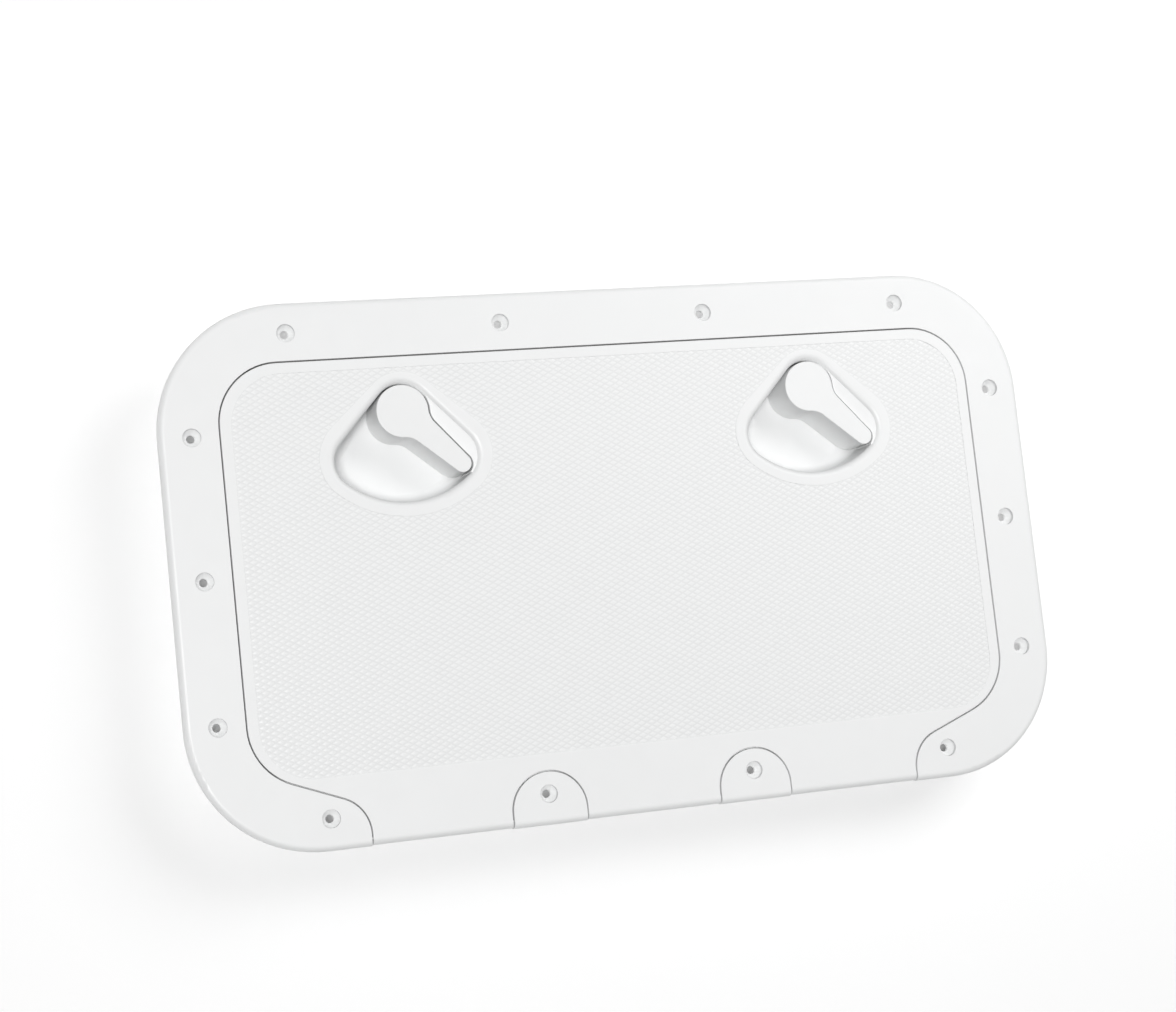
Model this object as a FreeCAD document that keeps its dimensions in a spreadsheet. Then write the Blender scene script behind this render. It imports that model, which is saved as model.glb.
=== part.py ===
import FreeCAD, Part
import Sketcher
import math
import os
import re

# Locking access hatch for a deck, in millimetres.
# X runs along the hinge edge, Y towards the locks and Z up out of the lid.
# The origin is the middle of the screw pattern on the deck plane, where the flange's underside lies.

# Driving dimensions: name, value, what it is.
SIZES = (
    ("frame_half_x", 303.0, "half length of the flange"),
    ("frame_half_y", 176.5, "half width of the flange"),
    ("frame_corner_r", 84.0, "outer corner of the flange"),
    ("flange_height", 9.0, "flange top above the deck, flush with the lid"),
    ("edge_round", 4.0, "rounding of the flange's outer edge"),
    ("flange_skin", 3.4, "moulded skin over the hollow underside of the flange"),
    ("skirt_wall", 3.5, "outer skirt round that hollow"),
    ("hollow_end_x", 228.0, "where the hollow stops beside the hinge edge"),
    ("screw_boss_r", 8.0, "boss round a screw hole in the hollow"),
    ("flange_rib", 2.4, "rib across the hollow"),
    ("screw_inner_x", 72.0, "inner screws of the two long sides"),
    ("screw_outer_x", 216.0, "outer screws of the two long sides"),
    ("screw_row_y", 156.3, "screw rows of the two long sides"),
    ("screw_side_x", 282.0, "screw rows of the two short sides"),
    ("screw_side_y", 92.0, "end screws of the short sides"),
    ("screw_hole_r", 2.75, "through hole for a deck screw"),
    ("screw_head_r", 6.0, "counterbore for the screw head"),
    ("screw_head_depth", 3.4, "straight part of the counterbore"),
    ("collar_half_x", 271.0, "half length of the collar, outside"),
    ("collar_half_y", 145.0, "half width of the collar, outside"),
    ("collar_corner_r", 47.0, "outer corner of the collar"),
    ("collar_wall", 3.5, "collar wall"),
    ("collar_depth", 43.0, "collar rim below the deck"),
    ("gutter_depth", 5.0, "gutter floor below the deck"),
    ("gutter_floor", 3.0, "thickness of the gutter floor"),
    ("gutter_front_y", 133.0, "gutter wall on the hinge side"),
    ("gutter_front_r", 38.0, "gutter corner on the hinge side"),
    ("upstand_half_x", 253.0, "inner face of the gasket upstand, half length"),
    ("upstand_half_y", 126.5, "inner face of the gasket upstand, half width"),
    ("upstand_corner_r", 29.0, "inner corner of the upstand"),
    ("upstand_wall", 2.0, "thickness of the upstand"),
    ("upstand_top", 1.0, "upstand edge above the deck"),
    ("edge_gap", 1.0, "gap between lid and frame all round"),
    ("lid_half_x", 263.6, "half length of the lid"),
    ("lid_top_y", 137.2, "edge of the lid on the lock side"),
    ("lid_corner_r", 39.5, "lid corners on the lock side"),
    ("lid_thickness", 4.2, "lid plate"),
    ("lid_edge_round", 0.4, "broken edge of the lid plate"),
    ("shelf_gap", 0.6, "lid plate above the frame's hinge shelf"),
    ("shoulder_y", 121.7, "where the lid side and the slanted shoulder would meet"),
    ("shoulder_slant", 21.5, "fall of the shoulder in degrees"),
    ("shoulder_r", 40.0, "rounding from lid side to shoulder"),
    ("finger_half_x", 190.2, "outer end of the lid's hinge edge"),
    ("lobe_r", 24.8, "round of the frame lobe beside the hinge edge"),
    ("tab_inset", 9.7, "centre of the round of a hinge tab, in from the flange's hinge side"),
    ("tab_r", 24.8, "half width of a hinge tab"),
    ("hinge_inset", 5.0, "hinge axis in from the flange's hinge side"),
    ("hinge_z", 4.6, "hinge axis above the deck"),
    ("barrel_gap", 0.6, "shelf edge to hinge barrel"),
    ("pin_r", 2.0, "hinge pin"),
    ("pin_fit", 0.02, "pin in the frame, radial"),
    ("pin_clearance", 0.06, "pin in the lid barrel, radial"),
    ("pin_reach", 15.0, "pin length inside a lid barrel"),
    ("pin_end_gap", 0.5, "bore beyond a pin end"),
    ("lobe_pin_depth", 17.0, "pin length inside a lobe"),
    ("pin_chamfer", 0.4, "chamfer of the pin ends"),
    ("field_half_x", 256.5, "half length of the tread field"),
    ("field_half_y", 130.3, "half width of the tread field"),
    ("field_corner_r", 34.0, "corner of the tread field"),
    ("field_depth", 0.6, "tread field below the lid face"),
    ("channel_wall", 1.8, "walls of the gasket channel"),
    ("channel_depth", 2.6, "gasket channel under the plate"),
    ("gasket_width", 5.0, "gasket"),
    ("gasket_gap", 0.3, "gasket to channel walls and upstand"),
    ("gasket_round", 1.2, "lower edges of the gasket"),
    ("rib_ring_half_x", 245.0, "stiffening ring under the lid, half length"),
    ("rib_ring_half_y", 118.5, "stiffening ring under the lid, half width"),
    ("rib_ring_r", 22.0, "corner of the stiffening ring"),
    ("rib_wall", 2.2, "ribs under the lid"),
    ("rib_depth", 11.0, "ribs below the lid plate"),
    ("rib_middle_y", 0.0, "upper long rib"),
    ("rib_lower_y", 60.0, "lower long rib, towards the hinge"),
    ("rib_inner_x", 72.0, "inner cross ribs"),
    ("rib_outer_x", 218.0, "outer cross ribs"),
    ("latch_x", 144.0, "lock axis from the middle"),
    ("latch_y", 101.0, "lock axis towards the lock side"),
    ("bezel_apex_r", 26.0, "plain border round a cup, at the handle head"),
    ("bezel_half_angle", 48.0, "plain border, half angle in degrees"),
    ("bezel_corner_r", 29.0, "plain border, corners"),
    ("bezel_bottom_r", 74.0, "plain border, lower curve"),
    ("bottom_offset", 5.0, "centre of the lower curve above the lock axis"),
    ("cup_apex_r", 18.5, "cup round the handle head"),
    ("cup_half_angle", 43.0, "cup, half angle in degrees"),
    ("cup_corner_r", 18.0, "cup corners"),
    ("cup_bottom_r", 64.2, "cup, lower curve"),
    ("cup_depth", 34.0, "cup floor below the face"),
    ("cup_wall", 2.5, "cup wall"),
    ("cup_floor", 3.0, "cup floor"),
    ("rim_round", 4.5, "rounding of the cup rim"),
    ("floor_round", 8.0, "rounding of the cup floor at its lower curve"),
    ("floor_round_small", 0.8, "rounding of the cup floor round the handle head"),
    ("nest_gap", 1.8, "slot between the released lever and its nest"),
    ("nest_rim_depth", 2.2, "nest's shoulder below the face at the cup rim"),
    ("nest_slope", 6.0, "fall of that shoulder towards the slot in degrees"),
    ("nest_bite", 2.0, "how far the nest runs into the cup wall"),
    ("nest_wall", 2.5, "wall and skin round the core of a nest"),
    ("nest_core_start", 20.0, "core of a nest from the lock axis, along the lever"),
    ("nest_core_end", 46.0, "end of that core"),
    ("nest_core_r", 1.2, "corners of that core"),
    ("boss_r", 12.0, "bearing boss under the cup"),
    ("boss_height", 3.0, "bearing boss below the cup floor"),
    ("head_r", 17.4, "handle head"),
    ("lever_reach", 52.0, "lock axis to the centre of the lever tip"),
    ("tip_r", 6.1, "lever tip"),
    ("lever_taper", 4.5, "taper of each lever side in degrees"),
    ("neck_r", 14.0, "rounding from head to lever"),
    ("lever_angle", 45.0, "released handle below the X axis, in degrees"),
    ("handle_wall", 2.4, "handle side wall"),
    ("handle_top", 3.0, "handle top skin"),
    ("handle_edge_round", 0.6, "top edge of the handle"),
    ("handle_floor_gap", 0.4, "handle foot above the cup floor"),
    ("hub_r", 8.5, "hub inside the handle head"),
    ("tip_round_gap", 1.0, "tip rounding beyond the floor rounding"),
    ("shaft_r", 5.0, "handle shaft"),
    ("shaft_clearance", 0.06, "shaft in its boss, radial"),
    ("shaft_square", 7.0, "square end of the shaft, across flats"),
    ("square_gap", 0.05, "cam on the square, each side"),
    ("seal_groove_r", 7.6, "groove for the shaft seal"),
    ("seal_groove_depth", 2.2, "groove for the shaft seal, depth"),
    ("seal_r", 0.9, "section of the shaft seal"),
    ("thrust_washer_r", 10.5, "thrust washer"),
    ("washer_thickness", 1.0, "thrust washer and lock washer"),
    ("axial_play", 0.15, "boss to thrust washer"),
    ("cam_thickness", 4.5, "cam"),
    ("cam_hub_r", 10.5, "cam round the shaft"),
    ("cam_reach", 31.5, "lock axis to the centre of the cam end"),
    ("cam_end_r", 7.0, "cam end"),
    ("cam_lead", 1.5, "lead chamfer of the cam end"),
    ("shaft_end_gap", 0.3, "shaft end short of the cam's lower face"),
    ("screw_bore_r", 2.1, "bore for the cam screw"),
    ("screw_shank_r", 2.0, "cam screw shank"),
    ("screw_shank", 14.0, "cam screw shank length"),
    ("cam_screw_head_r", 5.0, "cam screw head"),
    ("cam_screw_head", 2.8, "cam screw head height"),
    ("socket_across", 3.0, "hexagon socket of the cam screw"),
    ("lock_washer_r", 6.0, "lock washer"),
    ("keeper_half", 18.0, "half length of a keeper ledge"),
    ("keeper_inner_y", 129.0, "inner edge of a keeper ledge"),
    ("keeper_plate", 4.0, "keeper ledge"),
    ("keeper_gusset", 3.0, "gussets that carry a keeper ledge"),
    ("keeper_gap", 0.4, "keeper ledge above the locked cam"),
    ("keeper_lead", 2.0, "lead chamfer of the keeper ledge"),
)

NAMES = set(name for name, size, note in SIZES)
UP = FreeCAD.Vector(0, 0, 1)

doc = FreeCAD.newDocument("locking_access_hatch")
sheet = doc.addObject("Spreadsheet::Sheet", "sizes")
for row, (name, size, note) in enumerate(SIZES, 1):
    sheet.set("A%d" % row, name)
    sheet.set("B%d" % row, str(size))
    sheet.set("C%d" % row, note)
    sheet.setAlias("B%d" % row, name)
doc.recompute()

# Levels and places that follow from the driving dimensions.
HINGE_Y = "hinge_inset - frame_half_y"
TAB_Y = "tab_inset - frame_half_y"
LID_UNDER = "flange_height - lid_thickness"
SHELF_TOP = "flange_height - lid_thickness - shelf_gap"
BARREL_R = "flange_height - hinge_z"
CUP_FLOOR_Z = "flange_height - cup_depth"
BOSS_Z = "flange_height - cup_depth - cup_floor - boss_height"
NEST_TOP_Z = "flange_height - nest_rim_depth"
NEST_DROP = "cup_corner_r / 2 * tan(nest_slope)"
NEST_CORE_Z = "%s - %s - nest_wall" % (NEST_TOP_Z, NEST_DROP)
CAM_TOP_Z = BOSS_Z + " - axial_play - washer_thickness"
CAM_LOW_Z = CAM_TOP_Z + " - cam_thickness"
SHAFT_END_Z = CAM_LOW_Z + " + shaft_end_gap"
GASKET_X = "upstand_half_x + upstand_wall / 2"
GASKET_Y = "upstand_half_y + upstand_wall / 2"
GASKET_R = "upstand_corner_r + upstand_wall / 2"
SHOULDER_SHIFT = "edge_gap * (tan(shoulder_slant) - 1 / cos(shoulder_slant))"
LOBE_Y = "-shoulder_y - (lid_half_x - finger_half_x) * tan(shoulder_slant)"
TAB_EDGE = "tab_r + edge_gap"
PIN_BORE_R = "pin_r + pin_clearance"
SHAFT_BORE_R = "shaft_r + shaft_clearance"


def words(text):
    """An expression with the sheet's name before each of its sizes."""
    return re.sub(r"[a-z][a-z0-9_]*", lambda hit: "sizes." * (hit.group() in NAMES) + hit.group(), text)


def value(text):
    """The number that an expression gives."""
    return float(sheet.evalExpression(words(text)))


def bind(thing, prop, text):
    """Tie a property to an expression of the sheet."""
    thing.setExpression(prop, words(text))


def new_body(label):
    """An empty body with its own name."""
    made = doc.addObject("PartDesign::Body", label)
    made.Label = label
    return made


class Drawing:
    """A sketch on one of a body's origin planes, fully tied to the sheet.

    Its own origin stands off the plane by the offset and in it at the spot, turned by an angle in degrees.
    """

    def __init__(self, body, name, plane="XY_Plane", offset="0", spot=("0", "0"), turn="0"):
        self.body = body
        self.name = name
        self.sketch = body.newObject("Sketcher::SketchObject", name + "_sketch")
        support = [feature for feature in body.Origin.OriginFeatures if feature.Role == plane][0]
        self.sketch.AttachmentSupport = [(support, "")]
        self.sketch.MapMode = "FlatFace"
        self.sketch.AttachmentOffset = FreeCAD.Placement(FreeCAD.Vector(), FreeCAD.Rotation(UP, value(turn)))
        for axis, place in zip("xyz", (*spot, offset)):
            bind(self.sketch, "AttachmentOffset.Base." + axis, place)

    def add(self, shape, construction=False):
        """Add one line, arc, circle or point and return its number."""
        return self.sketch.addGeometry(shape, construction)

    def tie(self, *items):
        """A constraint without a size."""
        self.sketch.addConstraint(Sketcher.Constraint(*items))

    def size(self, text, *items, degrees=False):
        """A constraint whose size is an expression of the sheet."""
        number = value(text)
        if degrees:
            number = math.radians(number)
        index = self.sketch.addConstraint(Sketcher.Constraint(*items, number))
        self.sketch.renameConstraint(index, "size_%d" % index)
        if degrees:
            text = "(%s) * 1 deg" % text
        self.sketch.setExpression("Constraints.size_%d" % index, words(text))

    def place(self, index, end, x, y):
        """Hold one point of a shape at x, y."""
        self.size(x, "DistanceX", -1, 1, index, end)
        self.size(y, "DistanceY", -1, 1, index, end)

    def circle(self, x, y, radius):
        """A full circle."""
        index = self.add(Part.Circle(FreeCAD.Vector(value(x), value(y), 0), UP, value(radius)))
        self.place(index, 3, x, y)
        self.size(radius, "Radius", index)

    def arc(self, centre, radius, first, last):
        """An arc from one angle in degrees to the next, anticlockwise."""
        while last <= first:
            last += 360
        ring = Part.Circle(centre, UP, radius)
        return self.add(Part.ArcOfCircle(ring, math.radians(first), math.radians(last)))

    def line(self, start, end):
        """A straight line."""
        return self.add(Part.LineSegment(start, end))

    def corners(self, spots):
        """A closed outline of straight sides; a corner is x, y and the radius that rounds it, or None."""
        points = [FreeCAD.Vector(value(x), value(y), 0) for x, y, radius in spots]
        count = len(spots)
        entries = []
        exits = []
        arcs = []
        for index, (x, y, radius) in enumerate(spots):
            here = points[index]
            back = (points[index - 1] - here).normalize()
            ahead = (points[(index + 1) % count] - here).normalize()
            if radius is None:
                entries.append(here)
                exits.append(here)
                arcs.append(None)
                continue
            half = back.getAngle(ahead) / 2
            size = value(radius)
            entries.append(here + back * (size / math.tan(half)))
            exits.append(here + ahead * (size / math.tan(half)))
            centre = here + (back + ahead).normalize() * (size / math.sin(half))
            left_turn = back.cross(ahead).z < 0
            start, end = (entries[-1], exits[-1]) if left_turn else (exits[-1], entries[-1])
            angles = [math.degrees(math.atan2(spot.y - centre.y, spot.x - centre.x)) for spot in (start, end)]
            arcs.append((self.arc(centre, size, *angles), 1 if left_turn else 2))
        lines = [self.line(exits[index], entries[(index + 1) % count]) for index in range(count)]
        for index, (x, y, radius) in enumerate(spots):
            before = lines[index - 1]
            after = lines[index]
            if radius is None:
                self.tie("Coincident", before, 2, after, 1)
                self.place(after, 1, x, y)
                continue
            number, entry = arcs[index]
            self.tie("Tangent", before, 2, number, entry)
            self.tie("Tangent", number, 3 - entry, after, 1)
            self.size(radius, "Radius", number)
            corner = self.add(Part.Point(points[index]), True)
            self.tie("PointOnObject", corner, 1, before)
            self.tie("PointOnObject", corner, 1, after)
            self.place(corner, 1, x, y)

    def box(self, left, right, low, high, radius=None):
        """A rectangle between four sides, with rounded corners if a radius is given."""
        self.corners([(left, low, radius), (right, low, radius), (right, high, radius), (left, high, radius)])

    def ring(self, half_x, half_y, radius, wall):
        """Two rounded rectangles about the middle, one a wall's thickness inside the other."""
        for inset in ("0", wall):
            x = "(%s) - (%s)" % (half_x, inset)
            y = "(%s) - (%s)" % (half_y, inset)
            self.box("-(%s)" % x, x, "-(%s)" % y, y, "(%s) - (%s)" % (radius, inset))

    def polygon(self, reach, count, turn="0"):
        """An even polygon about the origin, its first corner at a turn in degrees."""
        spots = []
        for angle in range(0, 360, 360 // count):
            x, y = ["(%s) * %s(%d + %s)" % (reach, wave, angle, turn) for wave in ("cos", "sin")]
            spots.append((x, y, None))
        self.corners(spots)

    def square(self, half, turn):
        """A square about the origin, turned by an angle in degrees."""
        self.polygon("(%s) * sqrt(2)" % half, 4, "45 + " + turn)

    def tongue(self, x, radius, end_y):
        """A hinge tab: a half round towards +Y on a straight stem down to end_y."""
        centre = FreeCAD.Vector(value(x), value(TAB_Y), 0)
        width = value(radius)
        low = value(end_y)
        cap = self.arc(centre, width, 0, 180)
        left = self.line(centre + FreeCAD.Vector(-width, 0, 0), FreeCAD.Vector(centre.x - width, low, 0))
        base = self.line(FreeCAD.Vector(centre.x - width, low, 0), FreeCAD.Vector(centre.x + width, low, 0))
        right = self.line(FreeCAD.Vector(centre.x + width, low, 0), centre + FreeCAD.Vector(width, 0, 0))
        self.tie("Tangent", cap, 2, left, 1)
        self.tie("Tangent", cap, 1, right, 2)
        self.tie("Coincident", left, 2, base, 1)
        self.tie("Coincident", base, 2, right, 1)
        self.tie("Vertical", left)
        self.tie("Horizontal", base)
        self.place(cap, 3, x, TAB_Y)
        self.size(radius, "Radius", cap)
        self.size(end_y, "DistanceY", -1, 1, base, 1)

    def fan(self, x, kind, grow="0"):
        """The fan outline of a cup or its border: apex arc, two straight sides, two corners, lower arc."""
        apex = "%s_apex_r + %s" % (kind, grow)
        corner = "%s_corner_r + %s" % (kind, grow)
        bottom = "%s_bottom_r + %s" % (kind, grow)
        half = kind + "_half_angle"
        middle = FreeCAD.Vector(value(x), value("latch_y"), 0)
        low_middle = middle + FreeCAD.Vector(0, value("bottom_offset"), 0)
        angle = value(half)
        normal = FreeCAD.Vector(math.cos(math.radians(angle)), math.sin(math.radians(angle)), 0)
        along = FreeCAD.Vector(normal.y, -normal.x, 0)
        base = middle + normal * (value(apex) - value(corner)) - low_middle
        reach = value(bottom) - value(corner)
        slide = -base.dot(along) + math.sqrt(base.dot(along) ** 2 - base.dot(base) + reach ** 2)
        spot = base + along * slide
        turn = math.degrees(math.atan2(spot.y, spot.x))
        right_centre = low_middle + spot
        left_centre = low_middle + FreeCAD.Vector(-spot.x, spot.y, 0)
        mirror = FreeCAD.Vector(-normal.x, normal.y, 0)
        top = self.arc(middle, value(apex), angle, 180 - angle)
        left_side = self.line(left_centre + mirror * value(corner), middle + mirror * value(apex))
        left_corner = self.arc(left_centre, value(corner), 180 - angle, 180 - turn)
        bottom_arc = self.arc(low_middle, value(bottom), 180 - turn, 360 + turn)
        right_corner = self.arc(right_centre, value(corner), turn, angle)
        right_side = self.line(right_centre + normal * value(corner), middle + normal * value(apex))
        self.tie("Tangent", top, 2, left_side, 2)
        self.tie("Tangent", left_side, 1, left_corner, 1)
        self.tie("Tangent", left_corner, 2, bottom_arc, 1)
        self.tie("Tangent", bottom_arc, 2, right_corner, 1)
        self.tie("Tangent", right_corner, 2, right_side, 1)
        self.tie("Tangent", right_side, 2, top, 1)
        self.place(top, 3, x, "latch_y")
        self.place(bottom_arc, 3, x, "latch_y + bottom_offset")
        self.size(apex, "Radius", top)
        self.size(corner, "Radius", left_corner)
        self.size(corner, "Radius", right_corner)
        self.size(bottom, "Radius", bottom_arc)
        self.size("90 - " + half, "Angle", left_side, degrees=True)
        self.size("90 + " + half, "Angle", right_side, degrees=True)

    def lever(self, grow="0"):
        """Handle outline: round head at the origin, lever along +X, rounded necks; grow offsets it."""
        head = "head_r + " + grow
        tip = "tip_r + " + grow
        neck = "neck_r - " + grow
        slope = math.radians(value("lever_taper"))
        normal = FreeCAD.Vector(math.sin(slope), math.cos(slope), 0)
        along = FreeCAD.Vector(normal.y, -normal.x, 0)
        tip_middle = FreeCAD.Vector(value("lever_reach"), 0, 0)
        height = tip_middle.dot(normal) + value(tip) + value(neck)
        slide = math.sqrt((value(head) + value(neck)) ** 2 - height ** 2)
        upper = normal * height + along * slide
        centres = (upper, FreeCAD.Vector(upper.x, -upper.y, 0))
        rise = math.degrees(math.atan2(upper.y, upper.x))
        steep = math.degrees(math.atan2(normal.y, normal.x))
        low_normal = FreeCAD.Vector(normal.x, -normal.y, 0)
        head_arc = self.arc(FreeCAD.Vector(0, 0, 0), value(head), rise, 360 - rise)
        tip_arc = self.arc(tip_middle, value(tip), -steep, steep)
        upper_neck = self.arc(centres[0], value(neck), 180 + rise, 180 + steep)
        lower_neck = self.arc(centres[1], value(neck), 180 - steep, 180 - rise)
        upper_side = self.line(centres[0] - normal * value(neck), tip_middle + normal * value(tip))
        lower_side = self.line(centres[1] - low_normal * value(neck), tip_middle + low_normal * value(tip))
        self.tie("Tangent", head_arc, 1, upper_neck, 1)
        self.tie("Tangent", upper_neck, 2, upper_side, 1)
        self.tie("Tangent", upper_side, 2, tip_arc, 2)
        self.tie("Tangent", tip_arc, 1, lower_side, 2)
        self.tie("Tangent", lower_side, 1, lower_neck, 1)
        self.tie("Tangent", lower_neck, 2, head_arc, 2)
        self.place(head_arc, 3, "0", "0")
        self.place(tip_arc, 3, "lever_reach", "0")
        self.size(head, "Radius", head_arc)
        self.size(tip, "Radius", tip_arc)
        self.size(neck, "Radius", upper_neck)
        self.size(neck, "Radius", lower_neck)
        self.size("-lever_taper", "Angle", upper_side, degrees=True)
        self.size("lever_taper", "Angle", lower_side, degrees=True)

    def finish(self, kind, grows, **settings):
        """Make the sketch's feature and check that it adds or removes material."""
        doc.recompute()
        before = self.body.Shape.Volume if self.body.Tip else 0.0
        feature = self.body.newObject("PartDesign::" + kind, self.name)
        feature.Profile = self.sketch
        for prop, setting in settings.items():
            if isinstance(setting, str) and prop in ("Length", "Length2", "Angle", "Diameter"):
                bind(feature, prop, setting)
            else:
                setattr(feature, prop, setting)
        doc.recompute()
        change = feature.Shape.Volume - before
        if change * (1 if grows else -1) <= 0:
            raise RuntimeError(self.name + " does not change its body")
        return feature

    def pad(self, length, down=False, both=False):
        """Add the outline as a prism."""
        return self.finish("Pad", True, Length=length, Reversed=down, Midplane=both)

    def pocket(self, length, up=False, both=False):
        """Cut the outline as a prism, downwards unless told otherwise."""
        return self.finish("Pocket", False, Length=length, Reversed=up, Midplane=both)


def edge_names(shape, test):
    """Names of the edges that a test accepts."""
    return ["Edge%d" % index for index, edge in enumerate(shape.Edges, 1) if test(edge)]


def level(edge, height):
    """Whether an edge lies flat at one height."""
    box = edge.BoundBox
    return abs(box.ZMin - height) < 1e-4 and abs(box.ZMax - height) < 1e-4


def dress(body, kind, name, prop, size, test):
    """A fillet or chamfer on the chosen edges of a body."""
    base = body.Tip
    chosen = edge_names(base.Shape, test)
    if not chosen:
        raise RuntimeError(name + " finds no edge")
    feature = body.newObject("PartDesign::" + kind, name)
    feature.Base = (base, chosen)
    bind(feature, prop, size)
    doc.recompute()
    return feature


def cylinder_at(body, name, plane, offset, x, y, radius):
    """A drawing with one circle."""
    drawing = Drawing(body, name, plane, offset)
    drawing.circle(x, y, radius)
    return drawing


def lid_outline(drawing, grow, lobe, low):
    """Outline of the lid plate, or of the frame's recess for it, down to y = low on the hinge side."""
    side = "lid_half_x + " + grow
    top = "lid_top_y + " + grow
    shift = "0" if grow == "0" else SHOULDER_SHIFT
    shoulder = "-shoulder_y + " + shift
    lobe_y = LOBE_Y + " + " + shift
    end = "finger_half_x + " + grow
    right = [
        (end, low, None),
        (end, lobe_y, lobe),
        (side, shoulder, "shoulder_r + " + grow),
        (side, top, "lid_corner_r + " + grow),
    ]
    left = [("-(%s)" % x, y, radius) for x, y, radius in reversed(right)]
    drawing.corners(right + left)


def make_frame():
    """Flange, collar, gutter, upstand, hinge tabs and keeper ledges, one moulding."""
    body = new_body("frame")

    flange = Drawing(body, "flange")
    flange.box("-frame_half_x", "frame_half_x", "-frame_half_y", "frame_half_y", "frame_corner_r")
    flange.pad("flange_height")
    dress(body, "Fillet", "flange_edge", "Radius", "edge_round",
          lambda edge: level(edge, value("flange_height")))

    hollow = Drawing(body, "flange_hollow")
    outer_x = "frame_half_x - skirt_wall"
    outer_y = "frame_half_y - skirt_wall"
    outer_r = "frame_corner_r - skirt_wall"
    hollow.box("-(%s)" % outer_x, outer_x, "-(%s)" % outer_y, outer_y, outer_r)
    hollow.box("-collar_half_x", "collar_half_x", "-collar_half_y", "collar_half_y", "collar_corner_r")
    for x, y in screw_spots()[:10]:
        hollow.circle(x, y, "screw_boss_r")
    hollow.pocket("flange_height - flange_skin", up=True)
    solid = Drawing(body, "hinge_side_solid")
    solid.box("-hollow_end_x", "hollow_end_x", "-(%s) - skirt_wall / 2" % outer_y,
              "-collar_half_y + collar_wall / 2")
    solid.pad("flange_height - flange_skin")

    ribs = Drawing(body, "flange_ribs")
    half = "flange_rib / 2"
    middle_x = "(screw_inner_x + screw_outer_x) / 2"
    for x in ("0", middle_x, "-(%s)" % middle_x):
        ribs.box("%s - %s" % (x, half), "%s + %s" % (x, half), "collar_half_y", outer_y)
    for side in (1, -1):
        for y in ("screw_side_y / 2", "-screw_side_y / 2"):
            edges = ("collar_half_x", outer_x) if side > 0 else ("-(%s)" % outer_x, "-collar_half_x")
            ribs.box(edges[0], edges[1], "%s - %s" % (y, half), "%s + %s" % (y, half))
    ribs.pad("flange_height - flange_skin")

    block = Drawing(body, "gutter_block")
    block.box("-collar_half_x", "collar_half_x", "-collar_half_y", "collar_half_y", "collar_corner_r")
    block.pad("gutter_depth + gutter_floor", down=True)

    collar = Drawing(body, "collar")
    collar.ring("collar_half_x", "collar_half_y", "collar_corner_r", "collar_wall")
    collar.pad("collar_depth", down=True)

    recess = Drawing(body, "lid_recess", offset="flange_height")
    lid_outline(recess, "edge_gap", "lobe_r", "-frame_half_y - edge_gap")
    recess.pocket("flange_height - (%s)" % SHELF_TOP)

    barrels = Drawing(body, "barrel_room", offset="flange_height")
    inner = "%s + (%s) + barrel_gap" % (HINGE_Y, BARREL_R)
    barrels.box("-finger_half_x - edge_gap", "finger_half_x + edge_gap", "-frame_half_y - edge_gap", inner)
    barrels.pocket("flange_height * 2")

    tabs = Drawing(body, "hinge_tabs")
    for x in ("-screw_inner_x", "screw_inner_x"):
        tabs.tongue(x, "tab_r", "-frame_half_y")
    tabs.pad("flange_height")
    front = value("frame_half_y")
    dress(body, "Fillet", "tab_edge", "Radius", "edge_round",
          lambda edge: level(edge, value("flange_height")) and abs(edge.BoundBox.YMax + front) < 1e-4
          and abs(edge.CenterOfMass.x) < value("screw_inner_x + tab_r"))

    gutter = Drawing(body, "gutter", offset="flange_height")
    side = "lid_half_x + edge_gap"
    top = "lid_top_y + edge_gap"
    gutter.corners([
        ("-(%s)" % side, "-gutter_front_y", "gutter_front_r"),
        (side, "-gutter_front_y", "gutter_front_r"),
        (side, top, "lid_corner_r + edge_gap"),
        ("-(%s)" % side, top, "lid_corner_r + edge_gap"),
    ])
    gutter.pocket("flange_height + gutter_depth")

    upstand = Drawing(body, "upstand", offset="-gutter_depth")
    upstand.ring("upstand_half_x + upstand_wall", "upstand_half_y + upstand_wall",
                 "upstand_corner_r + upstand_wall", "upstand_wall")
    upstand.pad("gutter_depth + upstand_top")

    opening = Drawing(body, "opening")
    opening.box("-upstand_half_x", "upstand_half_x", "-upstand_half_y", "upstand_half_y", "upstand_corner_r")
    opening.pocket("gutter_depth + gutter_floor + 1")

    make_keepers(body)

    for x in ("screw_inner_x", "-screw_inner_x"):
        bore = cylinder_at(body, "tab_bore", "YZ_Plane", x, HINGE_Y, "hinge_z", "pin_r + pin_fit")
        bore.pocket("2 * (%s)" % TAB_EDGE, both=True)
    for x in ("finger_half_x + edge_gap", "-finger_half_x - edge_gap"):
        bore = cylinder_at(body, "lobe_bore", "YZ_Plane", x, HINGE_Y, "hinge_z", "pin_r + pin_fit")
        bore.pocket("2 * (lobe_pin_depth + pin_end_gap)", both=True)

    holes = Drawing(body, "screw_holes", offset="flange_height")
    for x, y in screw_spots():
        holes.circle(x, y, "screw_hole_r")
    holes.finish("Hole", False, Diameter="screw_hole_r * 2", DepthType="ThroughAll",
                 HoleCutType="Counterdrill", HoleCutCustomValues=True,
                 HoleCutDiameter=value("screw_head_r * 2"), HoleCutDepth=value("screw_head_depth"),
                 HoleCutCountersinkAngle=90.0)
    bind(body.Tip, "HoleCutDiameter", "screw_head_r * 2")
    bind(body.Tip, "HoleCutDepth", "screw_head_depth")
    return body


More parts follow.
